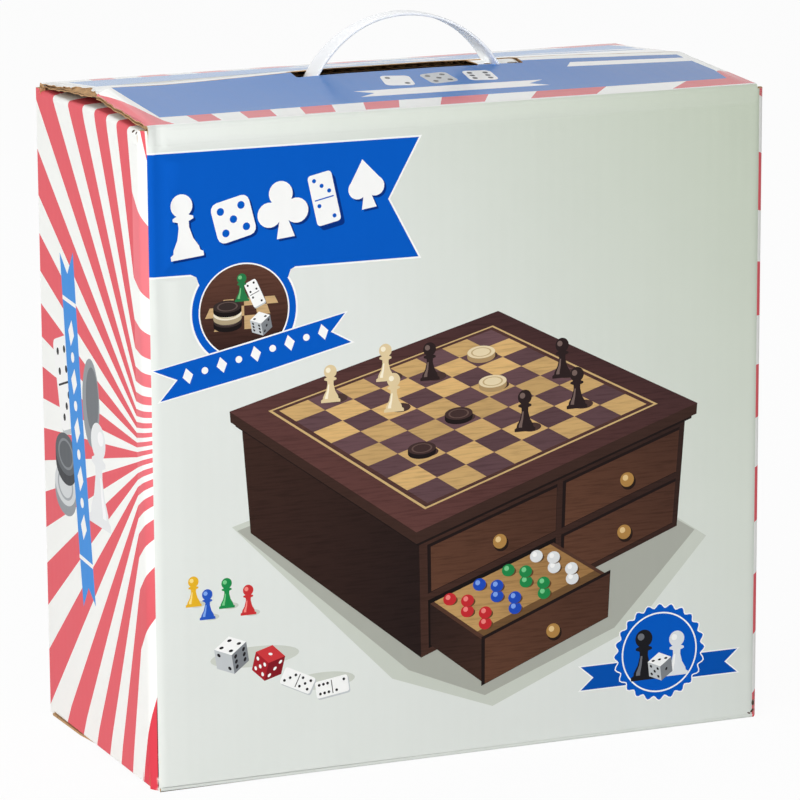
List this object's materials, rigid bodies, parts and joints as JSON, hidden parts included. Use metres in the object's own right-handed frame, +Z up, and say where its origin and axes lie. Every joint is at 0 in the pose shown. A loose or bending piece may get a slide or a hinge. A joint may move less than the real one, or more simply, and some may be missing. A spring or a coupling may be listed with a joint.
{
  "type": "games compendium box",
  "caption": "Closed corrugated carton with a plastic carry handle, fold-open lid flaps and a wooden games cabinet packed inside.",
  "frame": {"origin": "middle of the face the carton stands on", "axes": "+X along the carton's width, -Y its front panel, +Z up"},
  "size_m": [0.32, 0.159, 0.3605],
  "materials": {
    "printed_board": "printed white-lined corrugated board with a silky gloss",
    "kraft_board": "bare kraft corrugated board",
    "handle_plastic": "translucent natural polypropylene",
    "stained_wood": "dark stained and lacquered hardwood",
    "ply_core": "plain sanded plywood",
    "maple_inlay": "light veneer, satin lacquer",
    "walnut_inlay": "dark veneer, satin lacquer",
    "drawer_veneer": "red-brown veneer, satin lacquer",
    "light_men_wood": "turned pale wood",
    "dark_men_wood": "turned dark wood",
    "ivory_plastic": "polished cast resin",
    "card_paper": "smooth coated card in paper wraps"
  },
  "bodies": {
    "carton": {"front_wall": "printed_board", "back_wall": "printed_board", "left_wall": "printed_board", "right_wall": "printed_board", "bottom_front_flap": "printed_board", "bottom_back_flap": "printed_board", "bottom_left_dust_flap": "printed_board", "bottom_right_dust_flap": "printed_board", "glue_tab": "kraft_board", "cabinet_left_side": "stained_wood", "cabinet_right_side": "stained_wood", "cabinet_back": "stained_wood", "cabinet_floor": "stained_wood", "top_frame": "stained_wood", "drawer_rail": "stained_wood", "board_rail": "stained_wood", "top_rail": "stained_wood", "lower_runners": "stained_wood", "upper_runners": "stained_wood", "board_core": "ply_core", "light_squares": "maple_inlay", "board_stringing": "maple_inlay", "dark_squares": "walnut_inlay"},
    "front_lid": {"top_front_flap": "printed_board"},
    "back_lid": {"top_back_flap": "printed_board"},
    "left_dust_flap": {"top_left_dust_flap": "printed_board"},
    "right_dust_flap": {"top_right_dust_flap": "printed_board"},
    "handle": {"carry_handle": "handle_plastic"},
    "drawer": {"drawer_front": "drawer_veneer", "drawer_left_side": "ply_core", "drawer_right_side": "ply_core", "drawer_back": "ply_core", "drawer_floor": "ply_core", "drawer_dividers": "ply_core", "dominoes": "ivory_plastic", "light_draughts": "light_men_wood", "dark_draughts": "dark_men_wood", "card_packs": "card_paper", "dice": "ivory_plastic", "light_chessmen": "light_men_wood", "dark_chessmen": "dark_men_wood"},
    "lower_playing_board": {"lower_board": "drawer_veneer"},
    "upper_playing_board": {"upper_board": "drawer_veneer"}
  },
  "joints": [
    {"name": "front_lid_fold", "type": "hinge", "parent": "carton", "child": "front_lid", "pos_m": [0, -0.0795, 0.3235], "axis": [1, 0, 0], "range_deg": [-5.8, 230]},
    {"name": "back_lid_fold", "type": "hinge", "parent": "carton", "child": "back_lid", "pos_m": [0, 0.0795, 0.3235], "axis": [-1, 0, 0], "range_deg": [-4.3, 230]},
    {"name": "left_dust_fold", "type": "hinge", "parent": "carton", "child": "left_dust_flap", "pos_m": [-0.157, 0, 0.3172], "axis": [0, 1, 0], "range_deg": [0, 4]},
    {"name": "right_dust_fold", "type": "hinge", "parent": "carton", "child": "right_dust_flap", "pos_m": [0.157, 0, 0.3172], "axis": [0, -1, 0], "range_deg": [0, 4]},
    {"name": "handle_press", "type": "slide", "parent": "carton", "child": "handle", "axis": [0, 0, -1], "range_m": [0, 0.008], "stiffness_N_per_m": 3000},
    {"name": "drawer_slide", "type": "slide", "parent": "carton", "child": "drawer", "axis": [0, 0, 1], "range_m": [0, 0.005]},
    {"name": "lower_board_slide", "type": "slide", "parent": "carton", "child": "lower_playing_board", "axis": [0, 0, 1], "range_m": [0, 0.005]},
    {"name": "upper_board_slide", "type": "slide", "parent": "carton", "child": "upper_playing_board", "axis": [0, 0, 1], "range_m": [0, 0.005]}
  ]
}
